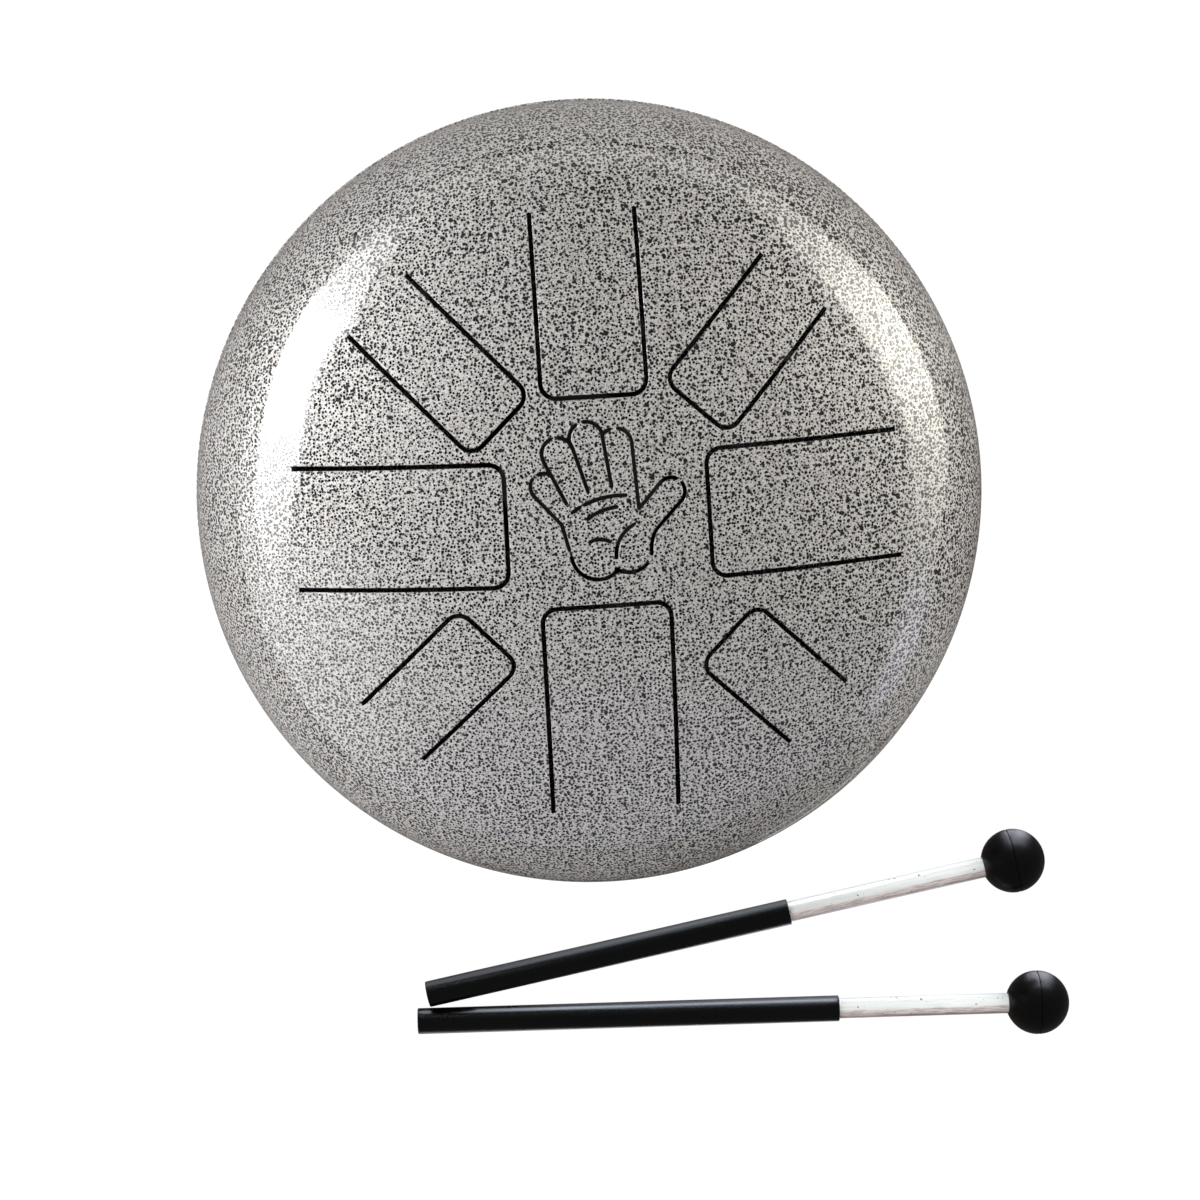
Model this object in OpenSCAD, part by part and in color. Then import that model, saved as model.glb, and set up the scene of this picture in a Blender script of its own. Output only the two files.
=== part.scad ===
// Steel tongue drum with two mallets, in millimetres.
// The drum's axis is the Z axis and the floor is z = 0. The mallets lie on the -Y side.

/* [Shells] */
// Diameter over the weld bead
drum_d = 254; // [230:1:300]
// Radius of the crown, which is part of a sphere
crown_r = 220; // [200:1:280]
// Radius of the shoulder between crown and skirt
shoulder_r = 50; // [42:1:58]
// Height of the straight skirt of each shell
skirt_h = 2; // [1:0.5:8]
// Thickness of the sheet steel
wall = 1.8; // [1.2:0.1:2.4]
// Clearance between the bottom shell and the floor
ground_gap = 8; // [6:0.5:14]

/* [Weld bead] */
// Radius of the weld bead's section
bead_r = 2.2; // [1.8:0.1:3]
// How far the bead stands proud of the shells
bead_proud = 0.5; // [0.2:0.1:1]

/* [Tongues] */
// Widths between the slots' centre lines, anticlockwise from the right
tongue_widths = [39.1, 25.6, 32, 25.6, 37.5, 25.6, 39.2, 25.7]; // [20:0.1:42]
// Distances from the axis to the free ends, in the same order
tongue_tips = [32.9, 44.8, 37.8, 41.7, 28.8, 49.5, 25.8, 53]; // [25:0.1:60]
// Turn of each tongue away from its eighth of the circle, in degrees
tongue_turns = [0.6, 1.8, -0.1, -1.9, -0.6, -1.6, 0.2, -0.6]; // [-3:0.1:3]
// Distance from the roots to the drum's edge
root_inset = 33.8; // [30:0.1:48]
// Width of the slots
slot_w = 1.4; // [0.8:0.1:2]
// Corner radius of the slots' centre lines at the free ends
tongue_corner = 4.6; // [3:0.1:7]
// Clearance at the roots, where tongue and shell are one sheet
root_gap = 0.05; // [0.03:0.01:0.1]

/* [Hand figure] */
// Height from the palm's heel to the highest fingertip
hand_h = 48.5; // [40:0.5:52]
// Width of the cut lines
hand_line_w = 1.2; // [0.8:0.1:1.6]
// Place of the palm's centre to the right of the axis
hand_x = 1.3; // [-2:0.1:3]
// Place of the palm's centre in front of the axis
hand_front = 4; // [2:0.1:6]
// Turn of the figure, in degrees
hand_turn = -3.4; // [-10:0.1:10]

/* [Sound hole] */
// Diameter of the sound hole
hole_d = 62; // [40:1:70]
// Thickness of the rubber trim round the sound hole
trim_t = 1.8; // [1:0.1:3]
// How far the trim reaches over the sheet
trim_reach = 6; // [4:0.5:9]

/* [Feet] */
// Distance from the axis to the feet, at the shell
foot_place_r = 61; // [52:0.5:70]
// Turn of the first foot from the right, in degrees
foot_turn = 45; // [0:5:90]
// Diameter of the feet at the shell
foot_d = 23; // [20:0.5:28]
// Diameter of the feet where the round end starts
foot_end_d = 20; // [18:0.5:22]
// Radius of the feet's round ends
foot_end_r = 20; // [16:0.5:26]
// How far the feet are flattened on the floor
foot_flat = 0.3; // [0.1:0.05:0.6]
// Thickness of rubber under the cup washer
foot_seat = 5; // [3:0.5:7]
// Diameter of the recess for the screw's head
recess_d = 9.6; // [9:0.1:11]
// Diameter of the screws
screw_d = 4; // [3:0.1:4.4]
// Clearance round the screws in rubber, washers and shell
screw_clear = 0.2; // [0.1:0.05:0.4]
// Diameter of the screw heads
head_d = 7.6; // [7:0.1:8.4]
// Height of the screw heads
head_h = 2.6; // [2:0.1:3]
// Width of the cross slot in the screw heads
cross_w = 0.9; // [0.6:0.1:1.2]
// Diameter of the cup washers
cup_d = 9.2; // [8.8:0.1:9.6]
// Thickness of the sheet of the cup washers
cup_t = 0.7; // [0.5:0.1:1]
// Height of the cup washers' rims
cup_h = 1.8; // [1.2:0.1:2.4]
// Diameter of the inner washers
washer_d = 10; // [9:0.1:12]
// Thickness of the inner washers
washer_t = 0.9; // [0.6:0.1:1.2]
// Width of the nuts across their flats
nut_w = 7; // [6.5:0.1:8]
// Height of the nuts
nut_h = 3.2; // [2.4:0.1:4]
// Length of screw that stands out of the nut
screw_spare = 1.5; // [0.5:0.1:3]

/* [Mallets] */
// Lengths from the grip's rear end to the centre of the ball, lower and upper mallet
mallet_lens = [221.3, 213.2]; // [190:0.5:260]
// Lengths of the grips
grip_lens = [150.2, 131.9]; // [100:0.5:170]
// Diameter of the rubber balls
ball_d = 22.6; // [18:0.1:28]
// Depth of the socket in the balls
socket_depth = 14; // [10:0.5:16]
// Depth of the groove at the balls' parting line
parting_depth = 0.5; // [0.1:0.05:0.8]
// Width of the groove at the balls' parting line
parting_w = 0.4; // [0.2:0.05:0.8]
// Outer diameter of the tubes
tube_d = 7.2; // [6:0.1:8]
// Wall of the tubes
tube_wall = 0.9; // [0.6:0.1:1.4]
// Outer diameter of the grips
grip_d = 9.2; // [8.6:0.1:9.4]
// How far the tubes end inside the grips' rear ends
tube_inset = 1.2; // [0.5:0.1:4]
// Distances of the mallets' rear ends to the left of the axis
mallet_lefts = [69.2, 65.1]; // [50:0.5:90]
// Distances of the mallets' rear ends in front of the axis
mallet_fronts = [193.1, 183.5]; // [178:0.1:210]
// Headings of the mallets, in degrees from the right
mallet_headings = [-1.8, 9.7]; // [-5:0.1:14]

/* [Hidden] */

// Overrun of every cut past the faces that it cuts
over = wall;
// Facets round the shells, and round everything else
shell_fn = 240;
small_fn = 64;
// Sides of a cut line's round ends, and the turn of each step along its arcs, in degrees
end_fn = 8;
arc_step = 12;

// The shells' profile, with heights from the seam
shell_r = drum_d / 2 - bead_proud;
shoulder_x = shell_r - shoulder_r;
crown_z = skirt_h - sqrt(pow(crown_r - shoulder_r, 2) - pow(shoulder_x, 2));
half_h = crown_z + crown_r;
seam_z = ground_gap + half_h;
tangent_x_share = shoulder_x / (crown_r - shoulder_r);
tangent_z_share = (skirt_h - crown_z) / (crown_r - shoulder_r);
hole_r = hole_d / 2;
// Distance from the axis to the tongues' roots
root_r = drum_d / 2 - root_inset;

// The feet: their lean from the drum's axis, and where their round ends are struck from
foot_lean = asin(foot_place_r / crown_r);
foot_end_z = (ground_gap + crown_r - foot_end_r + foot_flat) / cos(foot_lean) - crown_r;
foot_side_z = foot_end_z + sqrt(pow(foot_end_r, 2) - pow(foot_end_d / 2, 2));
foot_tip_z = foot_end_z + foot_end_r;
foot_sag = crown_r - sqrt(pow(crown_r, 2) - pow(foot_d / 2, 2));
washer_seat_z = crown_r - sqrt(pow(crown_r - wall, 2) - pow(washer_d / 2, 2));
head_z = foot_seat + cup_t;
screw_hole_r = screw_d / 2 + screw_clear;
screw_len = head_z + washer_seat_z + washer_t + nut_h + screw_spare;

// Arcs of the hand figure: centre, radius, and start and end in degrees
hand_arc_shares = [
    [-0.390, 0.300, 0.085, 62, 118], [-0.390, 0.300, 0.085, 146, 225],
    [-0.305, 0.505, 0.100, 27, 90], [-0.305, 0.505, 0.100, 116, 208],
    [-0.130, 0.600, 0.105, 13, 100], [-0.130, 0.600, 0.105, 126, 210],
    [0.055, 0.565, 0.100, 7, 84], [0.055, 0.565, 0.100, 110, 146],
    [0.400, 0.270, 0.088, -40, 38], [0.400, 0.270, 0.088, 66, 140],
    [-0.055, -0.115, 0.165, 188, 318], [0.140, -0.085, 0.150, 237, 322],
    [0.520, -0.080, 0.240, 152, 190],
    [0.100, -0.265, 0.515, 88, 118], [0.100, -0.265, 0.515, 121, 128],
    [0.100, -0.165, 0.345, 96, 130],
    [0.275, -0.120, 0.215, 118, 186], [-0.040, -0.150, 0.125, 60, 122]
];
// Straight lines of the hand figure, from point to point
hand_line_shares = [
    [-0.450, 0.240, -0.280, 0.065], [-0.280, 0.065, -0.232, -0.095],
    [-0.393, 0.458, -0.250, 0.195], [-0.217, 0.552, -0.115, 0.265],
    [-0.030, 0.623, 0.030, 0.300], [0.154, 0.577, 0.200, 0.165],
    [0.200, 0.165, 0.333, 0.327], [0.467, 0.213, 0.308, 0.033]
];

// Half section of a dome, drawn in from its outer face by inset
module dome_section(inset) {
    intersection() {
        union() {
            intersection() {
                translate([0, crown_z]) circle(crown_r - inset, $fn = shell_fn);
                polygon([
                    [0, 0],
                    [shoulder_x, skirt_h],
                    [shoulder_x + crown_r * tangent_x_share, skirt_h + crown_r * tangent_z_share],
                    [0, skirt_h + crown_r * tangent_z_share]
                ]);
            }
            translate([shoulder_x, skirt_h]) circle(shoulder_r - inset, $fn = shell_fn);
            square([shell_r - inset, skirt_h]);
        }
        square([shell_r, half_h]);
    }
}

// Section of the bead that joins the shells
module bead_section() {
    translate([shell_r + bead_proud - bead_r, 0]) circle(bead_r, $fn = small_fn);
}

// One pressed shell, open at the seam, crown up
module dome_wall() {
    rotate_extrude($fn = shell_fn) difference() {
        dome_section(0);
        dome_section(wall);
        bead_section();
    }
}

// A tongue's outline along +X, with round corners at its free end
module tongue_outline(w, tip, corner) {
    translate([tip + corner, -w / 2]) square([root_r - tip - corner, w]);
    translate([tip, corner - w / 2]) square([root_r - tip, w - 2 * corner]);
    for (side = [-1, 1])
        translate([tip + corner, side * (w / 2 - corner)]) circle(corner, $fn = small_fn);
}

// Direction of tongue k from the drum's axis, in degrees from the right
function tongue_azimuth(k) = k * 360 / len(tongue_widths) + tongue_turns[k];

// Upright prism of tongue k's outline, grown all round its free sides
module tongue_prism(k, grow) {
    rotate([0, 0, tongue_azimuth(k)])
        translate([0, 0, seam_z])
            linear_extrude(half_h + over)
                tongue_outline(tongue_widths[k] + 2 * grow, tongue_tips[k] - grow, tongue_corner + grow);
}

// Round end of a cut line, as a polygon
module line_end(p) {
    translate(p) circle(hand_line_w / 2, $fn = end_fn);
}

// A cut line of the hand figure between two points
module hand_line(a, b) {
    side = hand_line_w / 2 * [a[1] - b[1], b[0] - a[0]] / norm(b - a);
    polygon([a + side, a - side, b - side, b + side]);
    line_end(a);
    line_end(b);
}

// A cut line of the hand figure along an arc, in short straight steps
module hand_arc(c, r, from, to) {
    steps = ceil((to - from) / arc_step);
    turns = [for (i = [0 : steps]) from + (to - from) * i / steps];
    polygon(concat(
        [for (a = turns) c + (r + hand_line_w / 2) * [cos(a), sin(a)]],
        [for (i = [steps : -1 : 0]) c + (r - hand_line_w / 2) * [cos(turns[i]), sin(turns[i])]]
    ));
    line_end(c + r * [cos(from), sin(from)]);
    line_end(c + r * [cos(to), sin(to)]);
}

// Upright prisms of all the lines of the hand figure
module hand_cuts() {
    translate([hand_x, -hand_front, seam_z])
        rotate([0, 0, hand_turn])
            linear_extrude(half_h + over) {
                for (s = hand_arc_shares)
                    hand_arc(hand_h * [s[0], s[1]], hand_h * s[2], s[3], s[4]);
                for (s = hand_line_shares)
                    hand_line(hand_h * [s[0], s[1]], hand_h * [s[2], s[3]]);
            }
}

// Top shell: the dome with eight windows for the tongues, and the hand figure
module top_shell() {
    color("#a5a09b") difference() {
        translate([0, 0, seam_z]) dome_wall();
        for (k = [0 : len(tongue_widths) - 1]) tongue_prism(k, slot_w / 2);
        hand_cuts();
    }
}

// Tongue k: its piece of the dome, clear of the shell at its root
module tongue(k) {
    color("#a5a09b") intersection() {
        translate([0, 0, seam_z]) dome_wall();
        translate(-root_gap * [cos(tongue_azimuth(k)), sin(tongue_azimuth(k)), 0])
            tongue_prism(k, -slot_w / 2);
    }
}

// Bottom shell: the dome turned over, with the sound hole and four screw holes
module bottom_shell() {
    color("#a5a09b") difference() {
        translate([0, 0, seam_z]) mirror([0, 0, 1]) dome_wall();
        cylinder(h = seam_z, r = hole_r, $fn = shell_fn);
        for (k = [0 : 3]) at_foot(k)
            translate([0, 0, -wall - over])
                cylinder(h = wall + 2 * over, r = screw_hole_r, $fn = small_fn);
    }
}

// Weld bead round the seam, flush with the shells inside
module weld_bead() {
    color("#8f8b87") translate([0, 0, seam_z]) rotate_extrude($fn = shell_fn) intersection() {
        bead_section();
        translate([shell_r - wall, -bead_r]) square([2 * bead_r, 2 * bead_r]);
    }
}

// Rubber trim clipped over the edge of the sound hole
module sound_hole_trim() {
    lean = asin(hole_r / crown_r);
    rim_z = ground_gap + crown_r - (crown_r - wall / 2) * cos(lean);
    color("#1c1c1e") rotate_extrude($fn = shell_fn) difference() {
        translate([hole_r, rim_z]) rotate(lean) {
            circle(wall / 2 + trim_t, $fn = small_fn);
            translate([0, -wall / 2 - trim_t]) square([trim_reach, wall + 2 * trim_t]);
        }
        translate([hole_r, 0]) intersection() {
            translate([-hole_r, seam_z]) mirror([0, 1]) difference() {
                dome_section(0);
                dome_section(wall);
            }
            square([shell_r, seam_z]);
        }
    }
}

// Puts its children on foot k's axis: z = 0 on the shell's outer face, +Z away from the drum
module at_foot(k) {
    rotate([0, 0, foot_turn + 90 * k])
        translate([0, 0, ground_gap + crown_r])
            rotate([0, 180 - foot_lean, 0])
                translate([0, 0, crown_r])
                    children();
}

// Half section of a foot on its own axis, with its seat on the dome, its recess and its hole
module foot_section() {
    difference() {
        union() {
            polygon([
                [0, -foot_sag], [foot_d / 2, -foot_sag],
                [foot_end_d / 2, foot_side_z], [0, foot_side_z]
            ]);
            intersection() {
                translate([0, foot_end_z]) circle(foot_end_r, $fn = shell_fn);
                translate([0, foot_side_z - over]) square([foot_end_d / 2, foot_tip_z]);
            }
        }
        translate([0, -crown_r]) circle(crown_r, $fn = 8 * shell_fn);
        translate([0, foot_seat]) square([recess_d / 2, foot_tip_z]);
        translate([0, -foot_seat]) square([screw_hole_r, 3 * foot_seat]);
    }
}

// Rubber foot: tapered, round ended, seated on the dome and flattened on the floor
module foot(k) {
    color("#1c1c1e") difference() {
        at_foot(k) rotate_extrude($fn = small_fn) foot_section();
        translate([-drum_d / 2, -drum_d / 2, -foot_end_d]) cube([drum_d, drum_d, foot_end_d]);
    }
}

// Cup washer: a dished disc in the foot's recess
module cup_washer(k) {
    color("#c8c8ca") at_foot(k) translate([0, 0, foot_seat]) difference() {
        cylinder(h = cup_h, r = cup_d / 2, $fn = small_fn);
        translate([0, 0, cup_t]) cylinder(h = cup_h, r = cup_d / 2 - cup_t / 2, $fn = small_fn);
        translate([0, 0, -over]) cylinder(h = cup_h + over, r = screw_hole_r, $fn = small_fn);
    }
}

// Pan head screw with a cross slot, pointing into the drum
module foot_screw(k) {
    round_r = (pow(head_d / 2, 2) + pow(head_h / 2, 2)) / head_h;
    color("#b8b8bc") at_foot(k) {
        difference() {
            translate([0, 0, head_z]) union() {
                cylinder(h = head_h / 2, r = head_d / 2, $fn = small_fn);
                intersection() {
                    translate([0, 0, head_h - round_r]) sphere(round_r, $fn = small_fn);
                    translate([0, 0, head_h / 2]) cylinder(h = head_h, r = head_d / 2, $fn = small_fn);
                }
            }
            for (turn = [0, 90]) rotate([0, 0, turn])
                translate([-head_d / 3, -cross_w / 2, head_z + head_h / 2])
                    cube([head_d * 2 / 3, cross_w, head_h]);
        }
        translate([0, 0, head_z - screw_len]) cylinder(h = screw_len, r = screw_d / 2, $fn = small_fn);
    }
}

// Flat washer inside the bottom shell, seated on its rim
module inner_washer(k) {
    color("#c8c8ca") at_foot(k) translate([0, 0, -washer_seat_z - washer_t]) difference() {
        cylinder(h = washer_t, r = washer_d / 2, $fn = small_fn);
        translate([0, 0, -over]) cylinder(h = washer_t + 2 * over, r = screw_hole_r, $fn = small_fn);
    }
}

// Hex nut inside the bottom shell
module foot_nut(k) {
    color("#b8b8bc") at_foot(k) translate([0, 0, -washer_seat_z - washer_t - nut_h]) difference() {
        cylinder(h = nut_h, r = nut_w / 2 / cos(30), $fn = 6);
        translate([0, 0, -over]) cylinder(h = nut_h + 2 * over, r = screw_d / 2, $fn = small_fn);
    }
}

// Slope at which mallet i lies on its ball and on the grip's rear edge
function mallet_slope(i) =
    asin(ball_d / 2 / norm([mallet_lens[i], grip_d / 2])) - atan2(grip_d / 2, mallet_lens[i]);

// Puts its children on mallet i's axis: +X from the grip's rear end to the ball, +Z up
module at_mallet(i) {
    translate([-mallet_lefts[i], -mallet_fronts[i], grip_d / 2 * cos(mallet_slope(i))])
        rotate([0, -mallet_slope(i), mallet_headings[i]])
            children();
}

// Ball of mallet i, with its socket and parting line
module mallet_head(i) {
    color("#17171a") at_mallet(i) translate([mallet_lens[i], 0, 0]) rotate([0, 90, 0]) difference() {
        sphere(ball_d / 2, $fn = shell_fn);
        translate([0, 0, -ball_d / 2 - over])
            cylinder(h = socket_depth + over, r = tube_d / 2, $fn = small_fn);
        rotate_extrude($fn = shell_fn)
            translate([ball_d / 2 - parting_depth, -parting_w / 2]) square([over, parting_w]);
    }
}

// Tube of mallet i, from inside the grip to the bottom of the ball's socket
module mallet_tube(i) {
    tube_len = mallet_lens[i] - ball_d / 2 + socket_depth - tube_inset;
    color("#cfd0d2") at_mallet(i) translate([tube_inset, 0, 0]) rotate([0, 90, 0]) difference() {
        cylinder(h = tube_len, r = tube_d / 2, $fn = small_fn);
        translate([0, 0, -over])
            cylinder(h = tube_len + 2 * over, r = tube_d / 2 - tube_wall, $fn = small_fn);
    }
}

// Rubber sleeve over the rear of mallet i's tube
module mallet_grip(i) {
    color("#202024") at_mallet(i) rotate([0, 90, 0]) difference() {
        cylinder(h = grip_lens[i], r = grip_d / 2, $fn = small_fn);
        translate([0, 0, -over]) cylinder(h = grip_lens[i] + 2 * over, r = tube_d / 2, $fn = small_fn);
    }
}

top_shell();
tongue(0);  // tongue_1
tongue(1);  // tongue_2
tongue(2);  // tongue_3
tongue(3);  // tongue_4
tongue(4);  // tongue_5
tongue(5);  // tongue_6
tongue(6);  // tongue_7
tongue(7);  // tongue_8
bottom_shell();
weld_bead();
sound_hole_trim();
foot(0);  // foot_1
foot(1);  // foot_2
foot(2);  // foot_3
foot(3);  // foot_4
cup_washer(0);  // cup_washer_1
cup_washer(1);  // cup_washer_2
cup_washer(2);  // cup_washer_3
cup_washer(3);  // cup_washer_4
foot_screw(0);  // foot_screw_1
foot_screw(1);  // foot_screw_2
foot_screw(2);  // foot_screw_3
foot_screw(3);  // foot_screw_4
inner_washer(0);  // inner_washer_1
inner_washer(1);  // inner_washer_2
inner_washer(2);  // inner_washer_3
inner_washer(3);  // inner_washer_4
foot_nut(0);  // foot_nut_1
foot_nut(1);  // foot_nut_2
foot_nut(2);  // foot_nut_3
foot_nut(3);  // foot_nut_4
mallet_head(0);  // mallet_1_head
mallet_tube(0);  // mallet_1_tube
mallet_grip(0);  // mallet_1_grip
mallet_head(1);  // mallet_2_head
mallet_tube(1);  // mallet_2_tube
mallet_grip(1);  // mallet_2_grip
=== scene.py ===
import bmesh
import bpy
import math
import numpy as np
from mathutils import Matrix, Vector
from mathutils.geometry import delaunay_2d_cdt


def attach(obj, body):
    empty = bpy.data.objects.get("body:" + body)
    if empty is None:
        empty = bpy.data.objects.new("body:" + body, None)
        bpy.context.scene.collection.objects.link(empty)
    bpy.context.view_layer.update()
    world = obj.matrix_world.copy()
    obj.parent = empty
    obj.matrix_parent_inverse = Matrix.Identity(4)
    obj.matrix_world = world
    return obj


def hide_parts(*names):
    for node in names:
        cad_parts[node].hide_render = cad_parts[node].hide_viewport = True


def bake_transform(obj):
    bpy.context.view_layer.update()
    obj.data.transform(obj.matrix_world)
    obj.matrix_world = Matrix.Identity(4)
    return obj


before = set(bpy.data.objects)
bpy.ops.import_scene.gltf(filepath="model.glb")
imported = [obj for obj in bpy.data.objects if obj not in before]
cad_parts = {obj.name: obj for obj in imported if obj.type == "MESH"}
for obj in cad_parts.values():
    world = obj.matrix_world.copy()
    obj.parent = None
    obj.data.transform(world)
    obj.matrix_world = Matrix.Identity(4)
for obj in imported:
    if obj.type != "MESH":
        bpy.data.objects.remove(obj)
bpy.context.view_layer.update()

# sizes that several pieces share, in millimetres
drum = {"crownR": 220.0, "shoulderR": 50.0, "skirt": 2.0, "wall": 1.8, "rimR": 126.5,
        "groundGap": 8.0, "turns": 360}
shoulderX = drum["rimR"] - drum["shoulderR"]
crownZ = drum["skirt"] - math.sqrt((drum["crownR"] - drum["shoulderR"]) ** 2 - shoulderX ** 2)
seamZ = drum["groundGap"] + crownZ + drum["crownR"]
tangentAngle = math.asin(shoulderX / (drum["crownR"] - drum["shoulderR"]))   # from the axis
mallet = {"lens": [221.3, 213.2], "grips": [150.2, 131.9], "ballD": 22.6, "socket": 14.0, "tubeD": 7.2,
          "tubeWall": 0.9, "gripD": 9.2, "inset": 1.2, "lefts": [69.2, 65.1], "fronts": [193.1, 183.5],
          "headings": [-1.8, 9.7], "groove": 0.5, "grooveW": 0.4}


# Node and mesh helpers


class Wire:   # one socket, for sums written as plain Python
    def __init__(self, graph, socket):
        self.graph, self.socket = graph, socket

    def other(self, name):
        return Wire(self.graph, self.socket.node.outputs[name])

    def math(self, operation, *values):
        return self.graph.add("Math", dict(enumerate(values)), operation=operation)

    def larger(self, other):
        return self.math("MAXIMUM", self, other)

    def root(self):
        return self.math("SQRT", self)


wireMath = {"add": "ADD", "sub": "SUBTRACT", "mul": "MULTIPLY", "truediv": "DIVIDE", "gt": "GREATER_THAN",
            "abs": "ABSOLUTE"}
for sign, operation in wireMath.items():
    setattr(Wire, f"__{sign}__", lambda *values, kind=operation: values[0].math(kind, *values))
    setattr(Wire, f"__r{sign}__", lambda self, other, kind=operation: self.math(kind, other, self))


class Graph:   # a node tree, for materials and Geometry Nodes alike
    def __init__(self, tree):
        self.tree = tree

    def add(self, kind, inputs=None, output=0, **settings):   # a short kind is a shader node's
        node = self.tree.nodes.new(kind if "Node" in kind else "ShaderNode" + kind)
        for key, value in settings.items():
            setattr(node, key, value)
        for key, value in (inputs or {}).items():
            if isinstance(value, Wire):
                self.tree.links.new(value.socket, node.inputs[key])
            else:
                node.inputs[key].default_value = value
        return Wire(self, node.outputs[output]) if len(node.outputs) else node

    def fade(self, value, start, end, first=1.0, last=0.0):   # first below start, last above end
        return self.add("MapRange", {"Value": value, "From Min": start, "From Max": end, "To Min": first,
                                     "To Max": last}, interpolation_type="SMOOTHSTEP")

    def blend(self, factor, first, second):
        first = first if isinstance(first, Wire) else (*first, 1.0)
        return self.add("Mix", {0: factor, 6: first, 7: (*second, 1.0)}, 2, data_type="RGBA")

    def spot(self):
        return self.add("TexCoord", {}, "Object")

    def vector(self, operation, first, second):
        second = {"Scale" if operation == "SCALE" else 1: second}
        return self.add("VectorMath", {0: first, **second}, operation=operation)

    def parts(self, vector):   # x, y and z
        x = self.add("SeparateXYZ", {"Vector": vector})
        return x, x.other("Y"), x.other("Z")

    def noise(self, vector, scale, detail=2.0, roughness=0.5, output="Fac"):
        return self.add("TexNoise", {"Vector": vector, "Scale": scale, "Detail": detail,
                                     "Roughness": roughness}, output)

    def streaks(self, spot, along, across, detail=3.0, roughness=0.6):   # noise drawn out along X
        return self.noise(self.vector("MULTIPLY", spot, (along, across, across)), 1.0, detail, roughness)


def newMaterial(name):
    material = bpy.data.materials.new(name)
    material.use_nodes = True
    material.node_tree.nodes.clear()
    return material, Graph(material.node_tree)


def surfaceOf(graph, colour, values, height, depth, strength):   # the bump's depth is in metres
    normal = graph.add("Bump", {"Height": height, "Distance": depth, "Strength": strength})
    shader = graph.add("BsdfPrincipled", {"Base Color": colour, "Normal": normal, **values})
    graph.add("OutputMaterial", {"Surface": shader})


def link(thing):
    bpy.context.scene.collection.objects.link(thing)
    return thing


def newPiece(name, points, faces, material):   # points in millimetres
    mesh = bpy.data.meshes.new(name)
    mesh.from_pydata([(x / 1000, y / 1000, z / 1000) for x, y, z in points], [], faces)
    mesh.shade_smooth()
    mesh.materials.append(material)
    return link(bpy.data.objects.new(name, mesh))


def outward(piece):
    work = bmesh.new()
    work.from_mesh(piece.data)
    bmesh.ops.remove_doubles(work, verts=work.verts, dist=1e-7)
    bmesh.ops.recalc_face_normals(work, faces=work.faces)
    work.to_mesh(piece.data)
    work.free()
    return piece


def polar(radius, degrees):
    turn = math.radians(degrees)
    return radius * math.cos(turn), radius * math.sin(turn)


def arc(centre, radius, start, end, steps):   # points of an arc, in degrees
    spots = [polar(radius, start + (end - start) * i / steps) for i in range(steps + 1)]
    return [(centre[0] + x, centre[1] + y) for x, y in spots]


def rounded(corners, steps=4):   # closed outline from (x, y, radius) corners
    points = []
    for i, (x, y, radius) in enumerate(corners):
        here = Vector((x, y))
        before = Vector(corners[i - 1][:2]) - here
        after = Vector(corners[(i + 1) % len(corners)][:2]) - here
        half = before.angle(after) / 2
        reach = min(radius / math.tan(half), 0.49 * before.length, 0.49 * after.length)
        a, b = here + before.normalized() * reach, here + after.normalized() * reach
        for j in range(steps + 1):   # a quadratic curve is close enough to an arc here
            t = j / steps
            points.append(tuple(a * (1 - t) ** 2 + here * 2 * t * (1 - t) + b * t ** 2))
    return points


def lathe(name, outline, material, turns=96, place=None, closed=True, sharp=35):
    # outline is (radius, height) round a solid's half section; a radius of 0 is a pole
    points, rings = [], []
    for radius, height in outline:
        if radius < 1e-6:
            rings.append([len(points)] * turns)
            points.append(Vector((0, 0, height)))
        else:
            rings.append(list(range(len(points), len(points) + turns)))
            points += [Vector((*polar(radius, 360 * k / turns), height)) for k in range(turns)]
    faces = []
    for low, high in zip(rings, rings[1:] + rings[:closed]):   # a closed one also joins its ends
        for k in range(turns):
            n = (k + 1) % turns
            face = list(dict.fromkeys((low[k], low[n], high[n], high[k])))
            if len(face) > 2:
                faces.append(face)
    if place is not None:
        points = [place @ p for p in points]
    piece = outward(newPiece(name, points, faces, material))
    piece.data.set_sharp_from_angle(angle=math.radians(sharp))
    return piece


# Camera, floor, background and light

view = {"place": (-0.04115, 0.11823, 1.06538), "aim": (0.00111, -0.03442, 0.078), "roll": 3.2635,
        "lens": 92.097, "sensor": 36.0}


def makeCamera():
    place = Vector(view["place"])
    back = (place - Vector(view["aim"])).normalized()
    up = Vector((math.sin(math.radians(view["roll"])), math.cos(math.radians(view["roll"])), 0))
    up = (up - back * up.dot(back)).normalized()
    right = up.cross(back)
    data = bpy.data.cameras.new("camera")
    data.lens, data.sensor_width = view["lens"], view["sensor"]
    camera = link(bpy.data.objects.new("camera", data))
    camera.matrix_world = Matrix.Translation(place) @ Matrix((right, up, back)).transposed().to_4x4()
    bpy.context.scene.camera = camera


studio = {"worldColour": (1.0, 0.99, 0.975), "worldDiffuse": 0.47, "worldGlossy": 0.16,
          "floorColour": (0.80, 0.80, 0.80), "floorInGloss": (0.20, 0.185, 0.17), "floorSeen": 0.10,
          "floorGlow": 0.97, "floorSize": 60.0, "paintedShadowUnderDrum": (0.085, 0.122), "lampAim": (0, -0.02, 0.1)}
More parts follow.
